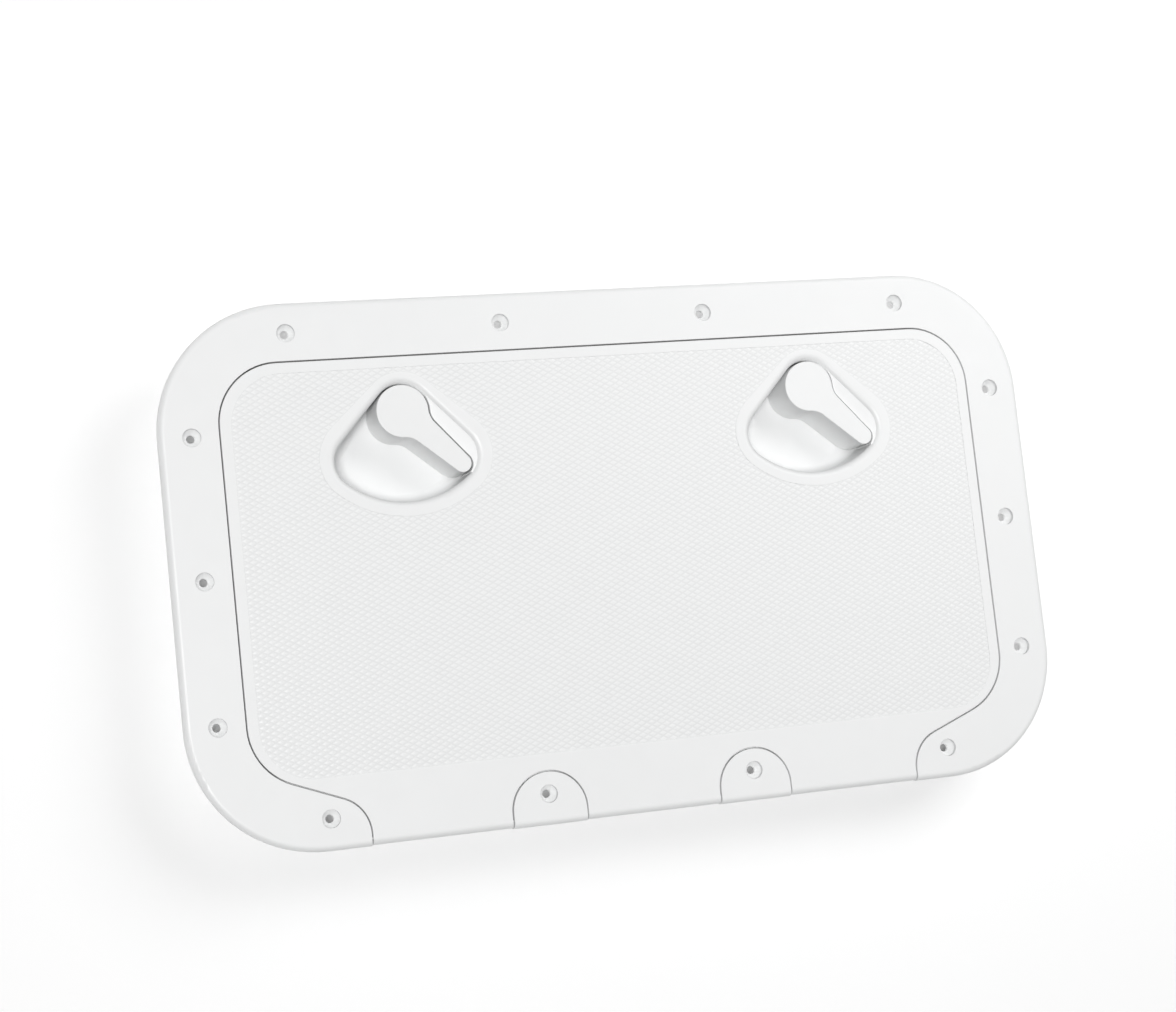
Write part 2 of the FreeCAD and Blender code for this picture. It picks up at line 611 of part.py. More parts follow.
def screw_spots():
    """Centres of the fourteen deck screws; the last four stand in solid parts of the flange."""
    row = ("-screw_outer_x", "-screw_inner_x", "screw_inner_x", "screw_outer_x")
    spots = [(x, "screw_row_y") for x in row]
    for x in ("-screw_side_x", "screw_side_x"):
        spots += [(x, y) for y in ("-screw_side_y", "0", "screw_side_y")]
    return spots + [(x, "-screw_row_y") for x in row]


def make_keepers(body):
    """Two ledges on the collar, each on two gussets, under which the cams turn."""
    under = CAM_TOP_Z + " + keeper_gap"
    wall = "collar_half_y - collar_wall"
    for x in ("-latch_x", "latch_x"):
        ledge = Drawing(body, "keeper_ledge", offset=under)
        left = x + " - keeper_half"
        right = x + " + keeper_half"
        ledge.box(left, right, "keeper_inner_y", wall + " + collar_wall / 2")
        ledge.pad("keeper_plate")
        gussets = Drawing(body, "keeper_gussets", offset=under)
        for edge in (left, right + " - keeper_gusset"):
            gussets.box(edge, edge + " + keeper_gusset", "keeper_inner_y", wall + " + collar_wall / 2")
        gussets.pad("-gutter_depth - gutter_floor / 2 - (%s)" % under)
    low = value(under)
    inner = value("keeper_inner_y")
    dress(body, "Chamfer", "keeper_lead_in", "Size", "keeper_lead",
          lambda edge: level(edge, low) and abs(edge.BoundBox.YMax - inner) < 1e-4)


def make_lid():
    """Lid plate with tread field, cups, hinge barrels, gasket channel and ribs, one moulding."""
    body = new_body("lid_unrounded")
    top = value("flange_height")
    hinge_line = value(HINGE_Y)

    plate = Drawing(body, "plate", offset=LID_UNDER)
    lid_outline(plate, "0", "lobe_r + edge_gap", HINGE_Y)
    plate.pad("lid_thickness")
    notch = Drawing(body, "tab_notches", offset="flange_height")
    for x in ("-screw_inner_x", "screw_inner_x"):
        notch.tongue(x, TAB_EDGE, HINGE_Y + " - edge_gap")
    notch.pocket("lid_thickness + edge_gap")
    dress(body, "Fillet", "plate_edge", "Radius", "lid_edge_round",
          lambda edge: level(edge, top) and edge.BoundBox.YMax > hinge_line + 0.01)

    inner = "screw_inner_x - (%s)" % TAB_EDGE
    outer = "screw_inner_x + (%s)" % TAB_EDGE
    middle = "(finger_half_x + (%s)) / 2" % outer
    for x, length in (("0", "2 * (%s)" % inner), (middle, "finger_half_x - (%s)" % outer),
                      ("-(%s)" % middle, "finger_half_x - (%s)" % outer)):
        barrel = cylinder_at(body, "barrel", "YZ_Plane", x, HINGE_Y, "hinge_z", BARREL_R)
        barrel.pad(length, both=True)

    for name, gap in (("inner_channel_wall", "-gasket_width / 2 - gasket_gap"),
                      ("outer_channel_wall", "gasket_width / 2 + gasket_gap + channel_wall")):
        wall = Drawing(body, name, offset=LID_UNDER)
        wall.ring("%s + %s" % (GASKET_X, gap), "%s + %s" % (GASKET_Y, gap), "%s + %s" % (GASKET_R, gap),
                  "channel_wall")
        wall.pad("channel_depth", down=True)

    ring = Drawing(body, "rib_ring", offset=LID_UNDER)
    ring.ring("rib_ring_half_x", "rib_ring_half_y", "rib_ring_r", "rib_wall")
    ring.pad("rib_depth", down=True)
    half = "rib_wall / 2"
    for x in ("0", "rib_inner_x", "-rib_inner_x", "rib_outer_x", "-rib_outer_x"):
        rib = Drawing(body, "cross_rib", offset=LID_UNDER)
        rib.box("%s - %s" % (x, half), "%s + %s" % (x, half), "-rib_ring_half_y + " + half,
                "rib_ring_half_y - " + half)
        rib.pad("rib_depth", down=True)
    for y in ("-rib_middle_y", "-rib_lower_y"):
        rib = Drawing(body, "long_rib", offset=LID_UNDER)
        rib.box("-rib_ring_half_x + " + half, "rib_ring_half_x - " + half, "%s - %s" % (y, half),
                "%s + %s" % (y, half))
        rib.pad("rib_depth", down=True)

    for x in ("-latch_x", "latch_x"):
        shell = Drawing(body, "cup_shell", offset=LID_UNDER)
        shell.fan(x, "cup", "cup_wall")
        shell.pad("cup_depth - lid_thickness + cup_floor", down=True)
        under = CUP_FLOOR_Z + " - cup_floor"
        boss = cylinder_at(body, "bearing_boss", "XY_Plane", under, x, "latch_y", "boss_r")
        boss.pad("boss_height", down=True)
    for x in ("-latch_x", "latch_x"):
        cavity = Drawing(body, "cup", offset="flange_height")
        cavity.fan(x, "cup")
        cavity.pocket("cup_depth")
        bore = cylinder_at(body, "shaft_bore", "XY_Plane", CUP_FLOOR_Z, x, "latch_y", SHAFT_BORE_R)
        bore.pocket("cup_floor + boss_height + 1")
        groove = cylinder_at(body, "seal_groove", "XY_Plane", CUP_FLOOR_Z, x, "latch_y", "seal_groove_r")
        groove.pocket("seal_groove_depth")
    reach = value("bezel_bottom_r")
    middle = FreeCAD.Vector(value("latch_x"), value("latch_y"), top)

    def near_cup(edge):
        """Whether an edge belongs to one of the two cups."""
        spot = edge.CenterOfMass
        return FreeCAD.Vector(abs(spot.x), spot.y, spot.z).distanceToPoint(middle) < reach

    dress(body, "Fillet", "cup_rim", "Radius", "rim_round", lambda edge: level(edge, top) and near_cup(edge))

    field = Drawing(body, "tread_field", offset="flange_height")
    field.box("-field_half_x", "field_half_x", "-field_half_y", "field_half_y", "field_corner_r")
    for x in ("-latch_x", "latch_x"):
        field.fan(x, "bezel")
    field.pocket("field_depth")

    for x in ("-screw_inner_x", "screw_inner_x"):
        bore = cylinder_at(body, "tab_pin_bore", "YZ_Plane", x, HINGE_Y, "hinge_z", PIN_BORE_R)
        bore.pocket("2 * (%s + pin_reach + pin_end_gap)" % TAB_EDGE, both=True)
    for x in ("-finger_half_x", "finger_half_x"):
        bore = cylinder_at(body, "end_pin_bore", "YZ_Plane", x, HINGE_Y, "hinge_z", PIN_BORE_R)
        bore.pocket("2 * (pin_reach + pin_end_gap)", both=True)
    return body


def round_cup_floors(lid_body):
    """Round each cup floor: widely along the lower curve, hardly at all round the handle head.

    The rounding runs one way round each cup, the way of its longest edge, so both ends of every
    edge are put in that order.
    """
    shape = lid_body.Shape
    floor_z = value(CUP_FLOOR_Z)
    wide = value("floor_round")
    small = value("floor_round_small")
    far = value("cup_apex_r") + 1
    chosen = []
    for side in (-1, 1):
        axis = FreeCAD.Vector(side * value("latch_x"), value("latch_y"), floor_z)
        middle = axis - FreeCAD.Vector(0, value("cup_apex_r"), 0)
        around = []
        for index, edge in enumerate(shape.Edges, 1):
            if not level(edge, floor_z) or edge.CenterOfMass.distanceToPoint(axis) > value("cup_bottom_r"):
                continue
            ends = [edge.valueAt(edge.FirstParameter), edge.valueAt(edge.LastParameter)]
            if ends[0].distanceToPoint(ends[1]) < value("seal_r"):
                continue
            turn = (ends[0] - middle).cross(ends[1] - middle).z
            around.append((edge.Length, index, ends, turn))
        around.sort(key=lambda item: -item[0])
        lead = around[0][3]
        for length, index, ends, turn in around:
            if turn * lead < 0:
                ends.reverse()
            radii = [wide if end.distanceToPoint(axis) > far else small for end in ends]
            chosen.append((index, radii[0], radii[1]))
    made = doc.addObject("Part::Fillet", "lid_rounded")
    made.Base = lid_body
    made.Edges = chosen
    doc.recompute()
    return made


def make_nest(label, x):
    """Filling beside a released lever, whose shoulder falls from the cup rim to a slot along the lever."""
    body = new_body(label)
    foot = CUP_FLOOR_Z + " - cup_floor / 2"
    height = "%s - (%s)" % (NEST_TOP_Z, foot)
    block = Drawing(body, "block", offset=foot)
    block.fan(x, "cup", "nest_bite")
    block.pad(height)
    shoulder = Drawing(body, "shoulder", offset=NEST_TOP_Z)
    shoulder.fan(x, "cup", "head_r + nest_gap - cup_apex_r")
    shoulder.finish("Pocket", False, Length=NEST_DROP, TaperAngle=value("nest_slope - 90"))
    bind(body.Tip, "TaperAngle", "(nest_slope - 90) * 1 deg")
    at_lever = {"offset": NEST_TOP_Z, "spot": (x, "latch_y"), "turn": "-lever_angle"}
    slot = Drawing(body, "slot", **at_lever)
    slot.lever("nest_gap")
    slot.pocket(height + " + 1")
    room = Drawing(body, "finger_room", **at_lever)
    room.box("-2 * cup_bottom_r", "2 * cup_bottom_r", "-2 * cup_bottom_r", "0")
    room.pocket(height + " + 1")
    return body


def make_nest_core(label, x):
    """Hollow of a nest, open below, between the wall along the slot and the cup's own wall."""
    body = new_body(label)
    foot = CUP_FLOOR_Z + " - cup_floor - 1"
    core = Drawing(body, "core", offset=foot, spot=(x, "latch_y"), turn="-lever_angle")
    wall = "(tip_r + nest_gap + nest_wall) / cos(lever_taper)"
    lean = "(cup_half_angle + lever_angle)"
    near = []
    far = []
    for along in ("nest_core_start", "nest_core_end"):
        near.append((along, "%s + (lever_reach - %s) * tan(lever_taper)" % (wall, along), "nest_core_r"))
        far.append((along, "(cup_apex_r - %s * cos%s) / sin%s" % (along, lean, lean), "nest_core_r"))
    core.corners(near + far[::-1])
    core.pad("%s - (%s)" % (NEST_CORE_Z, foot))
    return body


def add_nests(lid):
    """Join a nest to each cup and core it out from below."""
    places = (("left", "-latch_x"), ("right", "latch_x"))
    joined = doc.addObject("Part::MultiFuse", "lid_with_nests")
    joined.Shapes = [lid] + [make_nest("nest_" + side, x) for side, x in places]
    joined.Refine = True
    for side, x in places:
        cut = doc.addObject("Part::Cut", "lid_cored_" + side)
        cut.Base = joined
        cut.Tool = make_nest_core("nest_core_" + side, x)
        joined = cut
    doc.recompute()
    return joined


def make_gasket():
    """Sealing ring in the channel under the lid."""
    body = new_body("gasket")
    band = Drawing(body, "band", offset=LID_UNDER)
    band.ring(GASKET_X + " + gasket_width / 2", GASKET_Y + " + gasket_width / 2",
              GASKET_R + " + gasket_width / 2", "gasket_width")
    height = LID_UNDER + " - upstand_top - gasket_gap"
    band.pad(height, down=True)
    low = value("upstand_top + gasket_gap")
    dress(body, "Fillet", "band_edge", "Radius", "gasket_round", lambda edge: level(edge, low))
    return body


def make_pin(label, start, length):
    """Hinge pin along X from start, with chamfered ends."""
    body = new_body(label)
    pin = cylinder_at(body, "rod", "YZ_Plane", start, HINGE_Y, "hinge_z", "pin_r")
    pin.pad(length)
    dress(body, "Chamfer", "ends", "Size", "pin_chamfer", lambda edge: edge.Length < value("pin_r") * 7
          and len(edge.Vertexes) == 1)
    return body


def make_handle(label):
    """Handle moulding: hollow head and lever with hub and shaft; its lever lies along +X here."""
    body = new_body(label)
    top = value("flange_height")
    height = "cup_depth - handle_floor_gap"
    outer = Drawing(body, "outer", offset="flange_height")
    outer.lever()
    outer.pad(height, down=True)
    hollow = Drawing(body, "hollow", offset=CUP_FLOOR_Z + " + handle_floor_gap")
    hollow.lever("-handle_wall")
    hollow.pocket("%s - handle_top" % height, up=True)
    hub = cylinder_at(body, "hub", "XY_Plane", "flange_height - handle_top / 2", "0", "0", "hub_r")
    hub.pad("%s - handle_top / 2" % height, down=True)
    web = Drawing(body, "web", offset="flange_height - handle_top / 2")
    web.box("0", "lever_reach", "-handle_wall / 2", "handle_wall / 2")
    web.pad("(%s) / 2" % height, down=True)
    cut = Drawing(body, "tip_round", "XZ_Plane")
    rounding = "floor_round + tip_round_gap"
    end = "lever_reach + tip_r"
    foot = CUP_FLOOR_Z + " + handle_floor_gap"
    cut.corners([
        ("%s - (%s)" % (end, rounding), foot + " - 1", None),
        ("%s + 1" % end, foot + " - 1", None),
        ("%s + 1" % end, "%s + %s" % (foot, rounding), None),
        ("%s - (%s)" % (end, rounding), foot, None),
    ])
    axis = [feature for feature in body.Origin.OriginFeatures if feature.Role == "Z_Axis"][0]
    cut.finish("Groove", False, ReferenceAxis=(axis, [""]), Angle="360")
    shaft = cylinder_at(body, "shaft", "XY_Plane", foot, "0", "0", "shaft_r")
    shaft.pad("%s - (%s) + axial_play" % (foot, BOSS_Z), down=True)
    square = Drawing(body, "square", offset=BOSS_Z + " - axial_play")
    square.square("shaft_square / 2", "lever_angle")
    square.pad("%s - axial_play - (%s)" % (BOSS_Z, SHAFT_END_Z), down=True)
    bore = cylinder_at(body, "screw_bore", "XY_Plane", SHAFT_END_Z, "0", "0", "screw_bore_r")
    bore.pocket("screw_shank + 2", up=True)
    dress(body, "Fillet", "top_edge", "Radius", "handle_edge_round", lambda edge: level(edge, top))
    return body


def make_seal(label):
    """Shaft seal ring, a torus in the cup floor's groove."""
    body = new_body(label)
    section = Drawing(body, "section", "XZ_Plane")
    middle = "(shaft_r + seal_groove_r) / 2"
    low = CUP_FLOOR_Z + " - seal_groove_depth + seal_r"
    section.circle(middle, low, "seal_r")
    axis = [feature for feature in body.Origin.OriginFeatures if feature.Role == "Z_Axis"][0]
    section.finish("Revolution", True, ReferenceAxis=(axis, [""]), Angle="360")
    return body


def make_washer(label, top, inner, outer):
    """Flat washer under a level."""
    body = new_body(label)
    disc = Drawing(body, "disc", offset=top)
    disc.circle("0", "0", outer)
    disc.circle("0", "0", inner)
    disc.pad("washer_thickness", down=True)
    return body


def make_cam(label):
    """Cam arm on the square of the shaft; it lies along +X here."""
    body = new_body(label)
    hub = cylinder_at(body, "hub", "XY_Plane", CAM_TOP_Z, "0", "0", "cam_hub_r")
    hub.pad("cam_thickness", down=True)
    arm = Drawing(body, "arm", offset=CAM_TOP_Z)
    arm.box("0", "cam_reach", "-cam_end_r", "cam_end_r")
    arm.pad("cam_thickness", down=True)
    end = cylinder_at(body, "end", "XY_Plane", CAM_TOP_Z, "cam_reach", "0", "cam_end_r")
    end.pad("cam_thickness", down=True)
    hole = Drawing(body, "square_hole", offset=CAM_TOP_Z)
    hole.square("shaft_square / 2 + square_gap", "0")
    hole.pocket("cam_thickness + 1")
    high = value(CAM_TOP_Z)
    dress(body, "Chamfer", "lead", "Size", "cam_lead",
          lambda edge: level(edge, high) and edge.CenterOfMass.x > value("cam_reach"))
    return body


def make_cam_screw(label):
    """Cam screw with a low round head and a hexagon socket."""
    body = new_body(label)
    top = CAM_LOW_Z + " - washer_thickness"
    head = cylinder_at(body, "head", "XY_Plane", top, "0", "0", "cam_screw_head_r")
    head.pad("cam_screw_head", down=True)
    low = value(top + " - cam_screw_head")
    dress(body, "Fillet", "head_edge", "Radius", "cam_screw_head / 2", lambda edge: level(edge, low))
    shank = cylinder_at(body, "shank", "XY_Plane", top, "0", "0", "screw_shank_r")
    shank.pad("screw_shank")
    socket = Drawing(body, "socket", offset=top + " - cam_screw_head")
    socket.polygon("socket_across / 2 / cos(30)", 6)
    socket.pocket("cam_screw_head * 0.6", up=True)
    return body


def set_at(body, x, turn):
    """Stand a lock piece at its latch, turned about the lock axis."""
    bind(body, "Placement.Base.x", x)
    bind(body, "Placement.Base.y", "latch_y")
    body.Placement = FreeCAD.Placement(FreeCAD.Vector(value(x), value("latch_y"), 0),
                                       FreeCAD.Rotation(UP, value(turn)))
    doc.recompute()


def build():
    """Make every piece and return them by name."""
    pieces = {"frame": make_frame()}
    pieces["lid"] = add_nests(round_cup_floors(make_lid()))
    pieces["gasket"] = make_gasket()
    span = "2 * (%s + pin_reach)" % TAB_EDGE
    end_span = "lobe_pin_depth + edge_gap + pin_reach"
    for side, sign in (("left", "-"), ("right", "")):
        start = "%sscrew_inner_x - (%s) / 2" % (sign, span)
        pieces["tab_pin_" + side] = make_pin("tab_pin_" + side, start, span)
        start = "-finger_half_x - edge_gap - lobe_pin_depth" if sign else "finger_half_x - pin_reach"
        pieces["end_pin_" + side] = make_pin("end_pin_" + side, start, end_span)
        x = sign + "latch_x"
        lock = {
            "handle_": make_handle("handle_" + side),
            "thrust_washer_": make_washer("thrust_washer_" + side, BOSS_Z + " - axial_play",
                                          SHAFT_BORE_R, "thrust_washer_r"),
            "cam_": make_cam("cam_" + side),
            "lock_washer_": make_washer("lock_washer_" + side, CAM_LOW_Z, "screw_shank_r + shaft_clearance",
                                        "lock_washer_r"),
            "cam_screw_": make_cam_screw("cam_screw_" + side),
            "shaft_seal_": make_seal("shaft_seal_" + side),
        }
        for name, piece in lock.items():
            turn = "180" if name == "cam_" else "-lever_angle"
            set_at(piece, x, turn)
            pieces[name + side] = piece
    return pieces


def check_and_write(pieces):
    """Stop on any failed object or bad shape, then write one STEP file for each piece."""
    doc.recompute()
    for thing in doc.Objects:
        if "Invalid" in thing.State or "Error" in thing.State:
            raise RuntimeError(thing.Name + " failed")
    os.makedirs("parts", exist_ok=True)
    for name, piece in pieces.items():
        piece.Label = name
        shape = piece.Shape
        if shape.isNull() or not shape.isValid() or len(shape.Solids) != 1:
            raise RuntimeError(name + " has no good single solid")
        shape.exportStep("parts/%s.step" % name)
        print("%-22s %10.1f mm3 %5d faces" % (name, shape.Volume, len(shape.Faces)))


check_and_write(build())
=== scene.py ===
"""Locking access hatch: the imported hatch, its diamond tread, finishes, stage and camera."""
import math

import bpy
import numpy as np
from mathutils import Matrix, Vector


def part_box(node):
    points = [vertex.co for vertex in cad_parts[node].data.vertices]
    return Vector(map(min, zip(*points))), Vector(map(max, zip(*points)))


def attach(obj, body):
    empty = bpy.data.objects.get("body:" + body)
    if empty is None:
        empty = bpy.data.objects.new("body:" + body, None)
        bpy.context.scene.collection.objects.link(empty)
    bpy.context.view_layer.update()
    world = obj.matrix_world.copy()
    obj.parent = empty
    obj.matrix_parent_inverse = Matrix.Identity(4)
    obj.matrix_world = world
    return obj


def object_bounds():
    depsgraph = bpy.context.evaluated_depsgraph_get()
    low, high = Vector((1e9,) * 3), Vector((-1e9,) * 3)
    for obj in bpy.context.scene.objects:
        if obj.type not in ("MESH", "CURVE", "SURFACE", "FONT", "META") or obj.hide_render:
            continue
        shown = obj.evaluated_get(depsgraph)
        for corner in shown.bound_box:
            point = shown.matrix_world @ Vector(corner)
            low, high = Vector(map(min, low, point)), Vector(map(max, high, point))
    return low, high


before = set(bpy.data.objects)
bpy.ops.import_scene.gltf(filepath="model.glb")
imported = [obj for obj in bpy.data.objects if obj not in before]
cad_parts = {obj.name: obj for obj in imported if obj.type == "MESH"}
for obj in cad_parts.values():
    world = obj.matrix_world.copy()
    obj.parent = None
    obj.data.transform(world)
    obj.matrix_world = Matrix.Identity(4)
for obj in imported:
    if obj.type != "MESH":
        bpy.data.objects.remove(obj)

bl_info = {
    "name": "Locking access hatch",
    "version": (1, 0, 0),
    "blender": (4, 5, 0),
    "location": "3D View > Sidebar > Hatch",
    "description": "Tread, finishes and stage of a flush deck hatch",
    "category": "Object",
}

MM = 0.001
SIDES = ("left", "right")
CAD_BOX = [[round(v, 6) for v in corner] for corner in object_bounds()]
FACE_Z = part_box("lid")[1].z
LOCK_X = 144.0 * MM
LOCK_Y = 101.0 * MM
# The outer edge of a cup's plain border, a fan about the lock's axis
BORDER = {"apex": 26.0 * MM, "half_angle": math.radians(48.0), "corner": 29.0 * MM,
          "bottom": 74.0 * MM, "offset": 5.0 * MM}
ARC_STEPS = 24
# Nearly all values of a noise lie between these two
NOISE_LOW, NOISE_HIGH = 0.3, 0.7
FLOOR_HALF = 6.0
# The photograph's width and its camera's focal length, both in pixels
PHOTO_WIDTH, FOCAL_LENGTH = 1176.0, 2265.385
SENSOR_WIDTH = 36.0
GROUPS = ("hatch_tread", "hatch_finish", "hatch_stage")
# Name, place, width and power of each soft light
LIGHTS = (
    ("key_light", (-1.6, -0.5, 4.9), 1.2, 196.0),
    ("right_light", (1.0, 0.7, 1.2), 1.0, 12.0),
    ("left_light", (-1.0, 1.0, 1.9), 1.4, 4.5),
)


class HatchTread(bpy.types.PropertyGroup):
    """Sizes of the diamond tread let into the lid's face."""

    half_x: bpy.props.FloatProperty(
        name="Half length", description="Half length of the tread field",
        default=256.5 * MM, unit="LENGTH", subtype="DISTANCE")
    half_y: bpy.props.FloatProperty(
        name="Half width", description="Half width of the tread field",
        default=130.3 * MM, unit="LENGTH", subtype="DISTANCE")
    corner: bpy.props.FloatProperty(
        name="Corner", description="Corner radius of the tread field",
        default=34.0 * MM, unit="LENGTH", subtype="DISTANCE")
    pitch_x: bpy.props.FloatProperty(
        name="Diamond length", description="Length of one diamond",
        default=7.04 * MM, unit="LENGTH", subtype="DISTANCE")
    pitch_y: bpy.props.FloatProperty(
        name="Diamond width", description="Width of one diamond",
        default=3.968 * MM, unit="LENGTH", subtype="DISTANCE")
    valley: bpy.props.FloatProperty(
        name="Valley", description="Depth of the grooves between diamonds",
        default=0.58 * MM, unit="LENGTH", subtype="DISTANCE")
    crown: bpy.props.FloatProperty(
        name="Crown", description="Depth of the diamonds' flats under the lid's face",
        default=0.12 * MM, unit="LENGTH", subtype="DISTANCE")
    flat: bpy.props.FloatProperty(
        name="Flat", description="Share of a diamond that is its flat top",
        default=0.4, min=0.05, max=0.9, subtype="FACTOR")
    # Painted shade: the grooves' colour is darkened by this factor to stand in for the shade that
    # falls into them.
    groove_painted_shade: bpy.props.FloatProperty(
        name="Groove tone", description="Tone of the grooves against the diamonds' flats",
        default=0.92, min=0.0, max=1.0, subtype="FACTOR")
    # Painted shade: a dark band about this wide is painted along the inside of the field's edge,
    # standing in for the shade at the step there.
    edge_painted_shade_width: bpy.props.FloatProperty(
        name="Edge line", description="Width of the groove along the field's edge",
        default=0.6 * MM, unit="LENGTH", subtype="DISTANCE")


class HatchFinish(bpy.types.PropertyGroup):
    """Colours of the hatch's plastics, rubber and steel."""

    plastic: bpy.props.FloatVectorProperty(
        name="Plastic", description="Moulded flange, lid and handles",
        default=(0.83, 0.835, 0.835), size=3, min=0.0, max=1.0, subtype="COLOR")
    plastic_roughness: bpy.props.FloatProperty(
        name="Plastic roughness", description="Roughness of the moulded faces",
        default=0.42, min=0.0, max=1.0, subtype="FACTOR")
    nylon: bpy.props.FloatVectorProperty(
        name="Nylon", description="Cams under the lid",
        default=(0.035, 0.036, 0.038), size=3, min=0.0, max=1.0, subtype="COLOR")
    washer: bpy.props.FloatVectorProperty(
        name="Washer plastic", description="Thrust washers",
        default=(0.68, 0.67, 0.62), size=3, min=0.0, max=1.0, subtype="COLOR")
    rubber: bpy.props.FloatVectorProperty(
        name="Rubber", description="Gasket and shaft seals",
        default=(0.03, 0.03, 0.032), size=3, min=0.0, max=1.0, subtype="COLOR")
    steel: bpy.props.FloatVectorProperty(
        name="Steel", description="Pins, screws and lock washers",
        default=(0.62, 0.62, 0.63), size=3, min=0.0, max=1.0, subtype="COLOR")


class HatchStage(bpy.types.PropertyGroup):
    """Light and floor of the stage."""

    sky: bpy.props.FloatProperty(
        name="Sky", description="Strength of the even light from all round",
        default=0.04, min=0.0)
    brightness: bpy.props.FloatProperty(
        name="Brightness", description="Factor on the power of every soft light",
        default=1.0, min=0.0)
    floor: bpy.props.FloatVectorProperty(
        name="Floor", description="Colour of the floor",
        default=(1.0, 1.0, 1.0), size=3, min=0.0, max=1.0, subtype="COLOR")


class Finish:
    """A material with one Principled shader and the patterns that feed it."""

    def __init__(self, name, colour, roughness, metallic=0.0, specular=0.5):
        self.material = bpy.data.materials.new(name)
        self.material.use_nodes = True
        self.tree = self.material.node_tree
        self.tree.nodes.clear()
        output = self.tree.nodes.new("ShaderNodeOutputMaterial")
        self.shader = self.tree.nodes.new("ShaderNodeBsdfPrincipled")
        self.shader.inputs["Base Color"].default_value = (*colour, 1.0)
        self.shader.inputs["Roughness"].default_value = roughness
        self.shader.inputs["Metallic"].default_value = metallic
        self.shader.inputs["Specular IOR Level"].default_value = specular
        self.colour = tuple(colour)
        self.roughness = roughness
        self.tree.links.new(self.shader.outputs["BSDF"], output.inputs["Surface"])
        self.place = self.tree.nodes.new("ShaderNodeTexCoord").outputs["Object"]
        self.last_bump = None
        self.material.diffuse_color = (*colour, 1.0)

    def noise(self, grain, detail=3.0, stretch=(1.0, 1.0, 1.0)):
        """Noise with a grain of about the given length in metres, drawn out along each axis."""
        mapping = self.tree.nodes.new("ShaderNodeMapping")
        mapping.inputs["Scale"].default_value = [1.0 / (grain * each) for each in stretch]
        self.tree.links.new(self.place, mapping.inputs["Vector"])
        noise = self.tree.nodes.new("ShaderNodeTexNoise")
        noise.inputs["Scale"].default_value = 1.0
        noise.inputs["Detail"].default_value = detail
        self.tree.links.new(mapping.outputs["Vector"], noise.inputs["Vector"])
        return noise.outputs["Fac"]

    def run(self, pattern, low, high, at_low=0.0, at_high=1.0):
        """A pattern that runs between two values while another pattern runs from low to high."""
        limits = self.tree.nodes.new("ShaderNodeMapRange")
        limits.inputs["From Min"].default_value = low
        limits.inputs["From Max"].default_value = high
        limits.inputs["To Min"].default_value = at_low
        limits.inputs["To Max"].default_value = at_high
        self.tree.links.new(pattern, limits.inputs["Value"])
        return limits.outputs["Result"]

    def height(self):
        """The height above the object's origin."""
        parts = self.tree.nodes.new("ShaderNodeSeparateXYZ")
        self.tree.links.new(self.place, parts.inputs[0])
        return parts.outputs["Z"]

    def attribute(self, name):
        """A value that the mesh carries."""
        carried = self.tree.nodes.new("ShaderNodeAttribute")
        carried.attribute_name = name
        return carried.outputs["Fac"]

    def least(self, one, other):
        """The smaller of two patterns."""
        smaller = self.tree.nodes.new("ShaderNodeMath")
        smaller.operation = "MINIMUM"
        self.tree.links.new(one, smaller.inputs[0])
        self.tree.links.new(other, smaller.inputs[1])
        return smaller.outputs[0]

    def shade(self, pattern, darker, lighter=1.0):
        """The colour runs between two multiples of itself along a pattern."""
        ramp = self.tree.nodes.new("ShaderNodeValToRGB")
        ends = zip(ramp.color_ramp.elements, (NOISE_LOW, NOISE_HIGH), (darker, lighter))
        for element, position, factor in ends:
            element.position = position
            element.color = (*[min(part * factor, 1.0) for part in self.colour], 1.0)
        self.tree.links.new(pattern, ramp.inputs["Fac"])
        self.tree.links.new(ramp.outputs["Color"], self.shader.inputs["Base Color"])

    def polish(self, pattern, spread):
        """The roughness runs a spread either side of itself along a pattern."""
        low, high = max(self.roughness - spread, 0.02), min(self.roughness + spread, 1.0)
        rough = self.run(pattern, NOISE_LOW, NOISE_HIGH, low, high)
        self.tree.links.new(rough, self.shader.inputs["Roughness"])

    def bump(self, pattern, height):
        """The surface rises and falls by a height in metres along a pattern."""
        bump = self.tree.nodes.new("ShaderNodeBump")
        bump.inputs["Distance"].default_value = height
        bump.inputs["Strength"].default_value = 1.0
        self.tree.links.new(pattern, bump.inputs["Height"])
        if self.last_bump:
            self.tree.links.new(self.last_bump, bump.inputs["Normal"])
        self.last_bump = bump.outputs["Normal"]
        self.tree.links.new(self.last_bump, self.shader.inputs["Normal"])


def grained(finish, grain, depth):
    """Give a plastic uneven gloss, slight waviness and a fine spark-eroded grain."""
    finish.polish(finish.noise(12.0 * MM), 0.05)
    finish.bump(finish.noise(35.0 * MM, detail=1.0), 0.02 * MM)
    finish.bump(finish.noise(grain, detail=2.0), depth)
    return finish.material


def moulded(name, colour, roughness, grain, depth):
    """Moulded plastic with faint clouds in its colour."""
    finish = Finish(name, colour, roughness)
    finish.shade(finish.noise(60.0 * MM, detail=2.0), 0.992, 1.003)
    return grained(finish, grain, depth)


def tread_plastic_painted_shade(name, colour, roughness, sizes):
    """Moulded plastic with painted shade: darker in the grooves between diamonds and in a band
    along the field's edge, where shade falls.
    """
    finish = Finish(name, colour, roughness)
    # Painted shade: the colour darkens by height from the diamonds' flats down into the grooves.
    grooves = finish.run(finish.height(), FACE_Z - sizes.valley, FACE_Z - sizes.crown)
    # Painted shade: a dark band along the inside of the field's edge.
    past = finish.attribute("past_edge")
    edge = finish.run(past, -sizes.edge_painted_shade_width, -sizes.edge_painted_shade_width / 2.0, 1.0, 0.0)
    finish.shade(finish.least(grooves, edge), sizes.groove_painted_shade)
    return grained(finish, 0.5 * MM, 0.006 * MM)


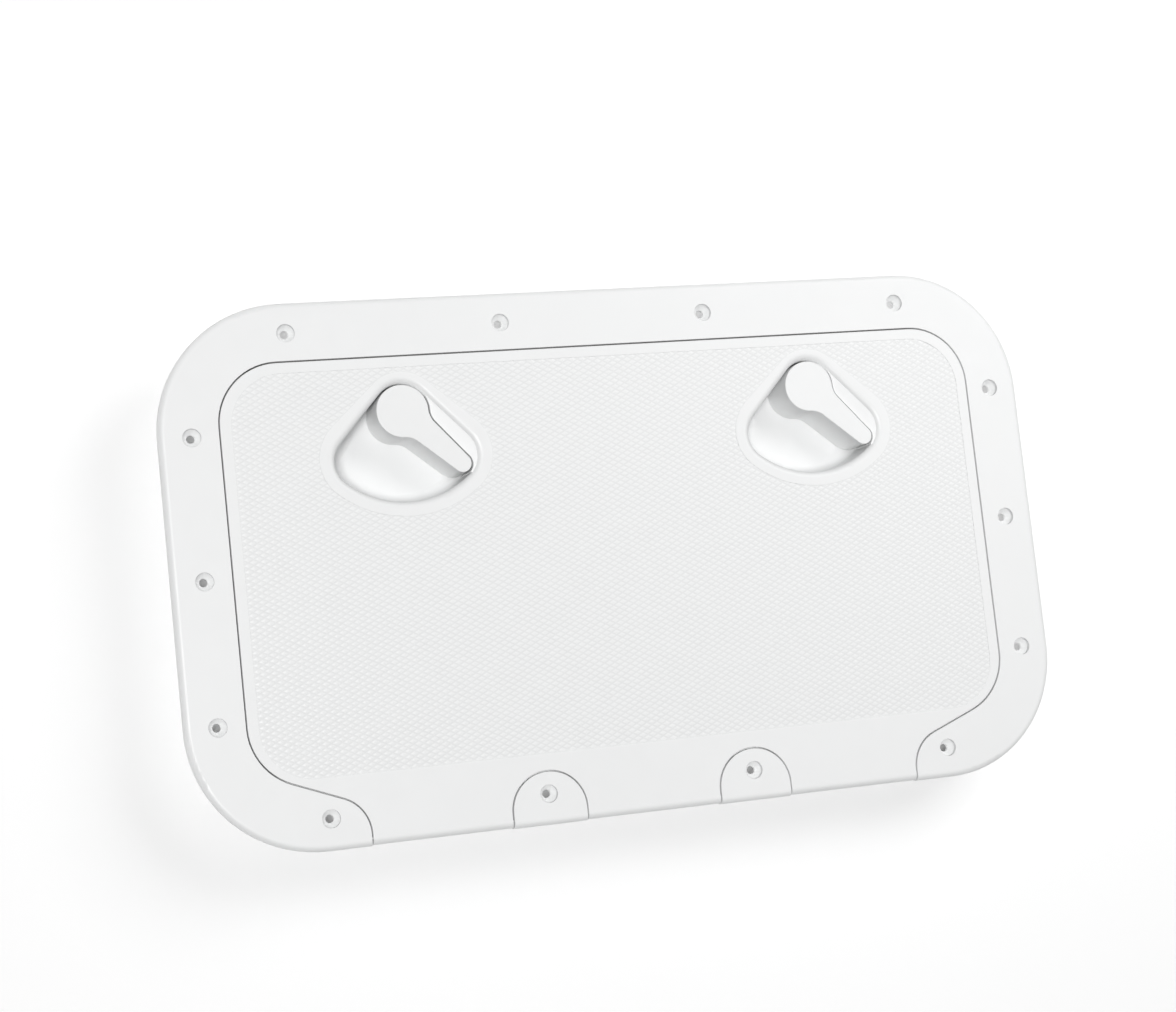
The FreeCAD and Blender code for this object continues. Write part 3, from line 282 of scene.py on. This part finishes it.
def rubber(name, colour):
    """Moulded rubber: dull, with bloom in patches and a fine open grain."""
    finish = Finish(name, colour, 0.72, specular=0.35)
    finish.shade(finish.noise(4.0 * MM, detail=4.0), 0.8, 1.9)
    finish.polish(finish.noise(2.0 * MM), 0.1)
    finish.bump(finish.noise(0.6 * MM), 0.03 * MM)
    return finish.material


def steel(name, colour, stretch):
    """Turned steel with fine marks drawn out along the stretch and slightly uneven gloss."""
    finish = Finish(name, colour, 0.3, metallic=1.0)
    marks = finish.noise(0.3 * MM, stretch=stretch)
    finish.shade(marks, 0.82, 1.05)
    finish.polish(marks, 0.09)
    finish.bump(marks, 0.004 * MM)
    return finish.material


def rounded_distance(x, y, half_x, half_y, corner):
    """How far points lie outside a rounded rectangle about the origin, less than nothing inside it.

    The rectangle shrunk by its corner radius gives each point an overshoot along X and Y. The
    distance is the length of the overshoot's positive part, plus its larger part where both are
    negative, less the corner radius.
    """
    over_x = np.abs(x) - (half_x - corner)
    over_y = np.abs(y) - (half_y - corner)
    outside = np.hypot(np.maximum(over_x, 0.0), np.maximum(over_y, 0.0))
    inside = np.minimum(np.maximum(over_x, over_y), 0.0)
    return outside + inside - corner


def fan_distance(x, y, apex, half_angle, corner, bottom, offset):
    """How far points lie outside a fan outline whose apex circle is at the origin.

    The fan is convex: an apex arc, two straight sides, two corner arcs and a lower arc about a
    centre that lies the offset above the origin. Each arc is sampled as points with outward
    directions, and the distance is the largest of (point - sample) along the sample's direction.
    """
    side = np.array([math.cos(half_angle), math.sin(half_angle)])
    along = np.array([side[1], -side[0]])
    base = side * (apex - corner) - np.array([0.0, offset])
    slide = -base @ along + math.sqrt((base @ along) ** 2 - base @ base + (bottom - corner) ** 2)
    centre = base + along * slide
    turn = math.atan2(centre[1], centre[0])
    arcs = (
        ((0.0, 0.0), apex, half_angle, math.pi - half_angle),
        ((centre[0], centre[1] + offset), corner, turn, half_angle),
        ((-centre[0], centre[1] + offset), corner, math.pi - half_angle, math.pi - turn),
        ((0.0, offset), bottom, math.pi - turn, 2.0 * math.pi + turn),
    )
    distance = np.full(np.shape(x), -np.inf)
    for (middle_x, middle_y), radius, first, last in arcs:
        for angle in np.linspace(first, last, ARC_STEPS):
            reach = (x - middle_x) * math.cos(angle) + (y - middle_y) * math.sin(angle) - radius
            distance = np.maximum(distance, reach)
    return distance


def mesh_object(name, points, faces):
    """A mesh object at the origin from arrays of points and of faces with as many corners each."""
    mesh = bpy.data.meshes.new(name)
    mesh.vertices.add(len(points))
    mesh.vertices.foreach_set("co", np.ascontiguousarray(points, np.float32).ravel())
    corners = faces.shape[1]
    mesh.loops.add(faces.size)
    mesh.loops.foreach_set("vertex_index", np.ascontiguousarray(faces, np.int32).ravel())
    mesh.polygons.add(len(faces))
    mesh.polygons.foreach_set("loop_start", np.arange(0, faces.size, corners, dtype=np.int32))
    mesh.update(calc_edges=True)
    mesh.validate()
    made = bpy.data.objects.new(name, mesh)
    bpy.context.scene.collection.objects.link(made)
    return made


def past_edge(x, y, sizes):
    """How far points lie past the tread's edge or inside a cup's plain border.

    The result is less than nothing on the tread.
    """
    past = rounded_distance(x, y, sizes.half_x, sizes.half_y, sizes.corner)
    for side in (-1, 1):
        cup = fan_distance(x - side * LOCK_X, y - LOCK_Y, **BORDER)
        past = np.maximum(past, -cup)
    return past


def tread_mesh(sizes):
    """Points and faces of the diamond tread.

    Diamonds stand on a lattice of half their length by half their width, on the places whose two
    whole numbers add up to an even number. Each has four corners in the valley at the neighbouring
    odd places and four corners of its flat top at a share of the way out. A diamond stays where its
    middle is inside the field and outside the plain borders of the cups, or at most half its length
    past an edge, where it runs on inside the solid border.
    """
    half = np.array([sizes.pitch_x, sizes.pitch_y]) / 2.0
    wide = int(math.ceil(sizes.half_x / half[0])) + 2
    deep = int(math.ceil(sizes.half_y / half[1])) + 2
    across, up = np.meshgrid(np.arange(-wide, wide + 1), np.arange(-deep, deep + 1))
    even = (across + up) % 2 == 0
    places = np.stack([across[even], up[even]], axis=1)
    places = places[past_edge(*(places * half).T, sizes) < half[0]]
    compass = np.array([[1, 0], [0, 1], [-1, 0], [0, -1]])
    rim = (places[:, None, :] + compass).reshape(-1, 2)
    shared, index = np.unique(rim, axis=0, return_inverse=True)
    rim_index = index.reshape(-1, 4)
    top_index = len(shared) + np.arange(len(places) * 4).reshape(-1, 4)
    low = np.column_stack([shared * half, np.full(len(shared), FACE_Z - sizes.valley)])
    tops = (places[:, None, :] + compass * sizes.flat).reshape(-1, 2) * half
    high = np.column_stack([tops, np.full(len(tops), FACE_Z - sizes.crown)])
    slopes = []
    for here, after in ((0, 1), (1, 2), (2, 3), (3, 0)):
        slopes.append(np.column_stack([rim_index[:, here], rim_index[:, after],
                                       top_index[:, after], top_index[:, here]]))
    return np.vstack([low, high]), np.vstack([*slopes, top_index])


def both(*kinds):
    """The names of the left and right nodes of some kinds."""
    return [kind + "_" + side for kind in kinds for side in SIDES]


def dress(nodes, material):
    """Give CAD nodes a material."""
    for name in nodes:
        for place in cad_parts[name].material_slots:
            place.material = material


class HATCH_OT_tread(bpy.types.Operator):
    """Let the diamond tread into the lid's face"""

    bl_idname = "hatch.tread"
    bl_label = "Diamond tread"

    def execute(self, context):
        sizes = context.scene.hatch_tread
        finish = context.scene.hatch_finish
        points, faces = tread_mesh(sizes)
        tread = mesh_object("diamond_tread", points, faces)
        carried = tread.data.attributes.new("past_edge", "FLOAT", "POINT")
        carried.data.foreach_set("value", past_edge(points[:, 0], points[:, 1], sizes))
        tread.data.materials.append(
            tread_plastic_painted_shade("tread_plastic_painted_shade", finish.plastic, finish.plastic_roughness, sizes))
        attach(tread, "lid")
        return {"FINISHED"}


class HATCH_OT_plastics(bpy.types.Operator):
    """Finish the flange, lid, handles, cams and washers in moulded plastic"""

    bl_idname = "hatch.plastics"
    bl_label = "Plastics"

    def execute(self, context):
        finish = context.scene.hatch_finish
        rough = finish.plastic_roughness
        dress(["frame"], moulded("flange_plastic", finish.plastic, rough, 0.6 * MM, 0.008 * MM))
        dress(["lid"], moulded("lid_plastic", finish.plastic, rough, 0.6 * MM, 0.008 * MM))
        dress(both("handle"),
              moulded("handle_plastic", finish.plastic, rough - 0.06, 0.8 * MM, 0.005 * MM))
        dress(both("cam"), moulded("cam_nylon", finish.nylon, 0.5, 0.5 * MM, 0.02 * MM))
        dress(both("thrust_washer"),
              moulded("washer_plastic", finish.washer, 0.45, 0.7 * MM, 0.006 * MM))
        return {"FINISHED"}


class HATCH_OT_rubber_and_steel(bpy.types.Operator):
    """Finish the gasket and seals in rubber and the pins and screws in steel"""

    bl_idname = "hatch.rubber_and_steel"
    bl_label = "Rubber and steel"

    def execute(self, context):
        finish = context.scene.hatch_finish
        dress(["gasket", *both("shaft_seal")], rubber("gasket_rubber", finish.rubber))
        dress(both("tab_pin", "end_pin"), steel("pin_steel", finish.steel, (20.0, 1.0, 1.0)))
        dress(both("cam_screw", "lock_washer"),
              steel("screw_steel", finish.steel, (1.0, 1.0, 1.0)))
        return {"FINISHED"}


def aim(place, target=(0.0, 0.0, 0.0)):
    """A placement at a point, looking at a target along its own -Z."""
    place = Vector(place)
    turn = (Vector(target) - place).to_track_quat("-Z", "Y")
    return Matrix.Translation(place) @ turn.to_matrix().to_4x4()


def soft_light(name, place, width, power):
    """A square area light that looks at the middle of the hatch."""
    light = bpy.data.lights.new(name, "AREA")
    light.shape = "SQUARE"
    light.size = width
    light.energy = power
    made = bpy.data.objects.new(name, light)
    made.matrix_world = aim(place)
    bpy.context.scene.collection.objects.link(made)


def photo_camera():
    """The camera that the photograph's edges and screw holes give.

    Right, up and back are its directions. The lens is the focal length over the picture's width,
    times the sensor's width.
    """
    right = Vector((0.95023319, -0.10609783, 0.2929166))
    up = Vector((0.07237998, 0.98968016, 0.12367023))
    back = Vector((-0.30301489, -0.09631426, 0.94810629))
    place = Vector((-481.646, -115.662, 1438.963)) * MM
    camera = bpy.data.cameras.new("photo_camera")
    camera.sensor_width = SENSOR_WIDTH
    camera.lens = FOCAL_LENGTH / PHOTO_WIDTH * SENSOR_WIDTH
    camera.clip_start = 0.05
    camera.clip_end = 50.0
    made = bpy.data.objects.new("photo_camera", camera)
    turn = Matrix((right, up, back)).transposed()
    made.matrix_world = Matrix.Translation(place) @ turn.to_4x4()
    bpy.context.scene.collection.objects.link(made)
    bpy.context.scene.camera = made


class HATCH_OT_stage(bpy.types.Operator):
    """Lay the floor, hang the lights and stand the camera where the photograph was taken"""

    bl_idname = "hatch.stage"
    bl_label = "Stage"

    def execute(self, context):
        stage = context.scene.hatch_stage
        context.scene.view_settings.view_transform = "Standard"
        corners = np.array([[-1, -1], [1, -1], [1, 1], [-1, 1]]) * FLOOR_HALF
        points = np.column_stack([corners, np.full(len(corners), CAD_BOX[0][2])])
        floor = mesh_object("floor", points, np.array([[0, 1, 2, 3]]))
        paint = Finish("floor_paint", stage.floor, 0.9, specular=0.1)
        paint.shade(paint.noise(500.0 * MM, detail=2.0), 0.995)
        floor.data.materials.append(paint.material)
        sky = bpy.data.worlds.new("soft_sky")
        sky.use_nodes = True
        background = sky.node_tree.nodes["Background"]
        background.inputs["Color"].default_value = (1.0, 1.0, 1.0, 1.0)
        background.inputs["Strength"].default_value = stage.sky
        context.scene.world = sky
        for name, place, width, power in LIGHTS:
            soft_light(name, place, width, power * stage.brightness)
        photo_camera()
        return {"FINISHED"}


class HATCH_PT_panel(bpy.types.Panel):
    """The hatch's steps and values in the 3D view's sidebar."""

    bl_idname = "HATCH_PT_panel"
    bl_label = "Locking access hatch"
    bl_space_type = "VIEW_3D"
    bl_region_type = "UI"
    bl_category = "Hatch"

    def draw(self, context):
        for step in STEPS:
            self.layout.operator(step.bl_idname)
        for group in GROUPS:
            values = getattr(context.scene, group)
            box = self.layout.box()
            for name in values.__annotations__:
                box.prop(values, name)


STEPS = (HATCH_OT_tread, HATCH_OT_plastics, HATCH_OT_rubber_and_steel, HATCH_OT_stage)
CLASSES = (HatchTread, HatchFinish, HatchStage, *STEPS, HATCH_PT_panel)


def register():
    """Add the classes and the scene's values."""
    for each in CLASSES:
        bpy.utils.register_class(each)
    for name, group in zip(GROUPS, (HatchTread, HatchFinish, HatchStage)):
        setattr(bpy.types.Scene, name, bpy.props.PointerProperty(type=group))


def unregister():
    """Take the scene's values and the classes away again."""
    for name in GROUPS:
        delattr(bpy.types.Scene, name)
    for each in reversed(CLASSES):
        bpy.utils.unregister_class(each)


def main():
    """Make every piece."""
    register()
    bpy.ops.hatch.tread()
    bpy.ops.hatch.plastics()
    bpy.ops.hatch.rubber_and_steel()
    bpy.ops.hatch.stage()


if __name__ == "__main__":
    main()
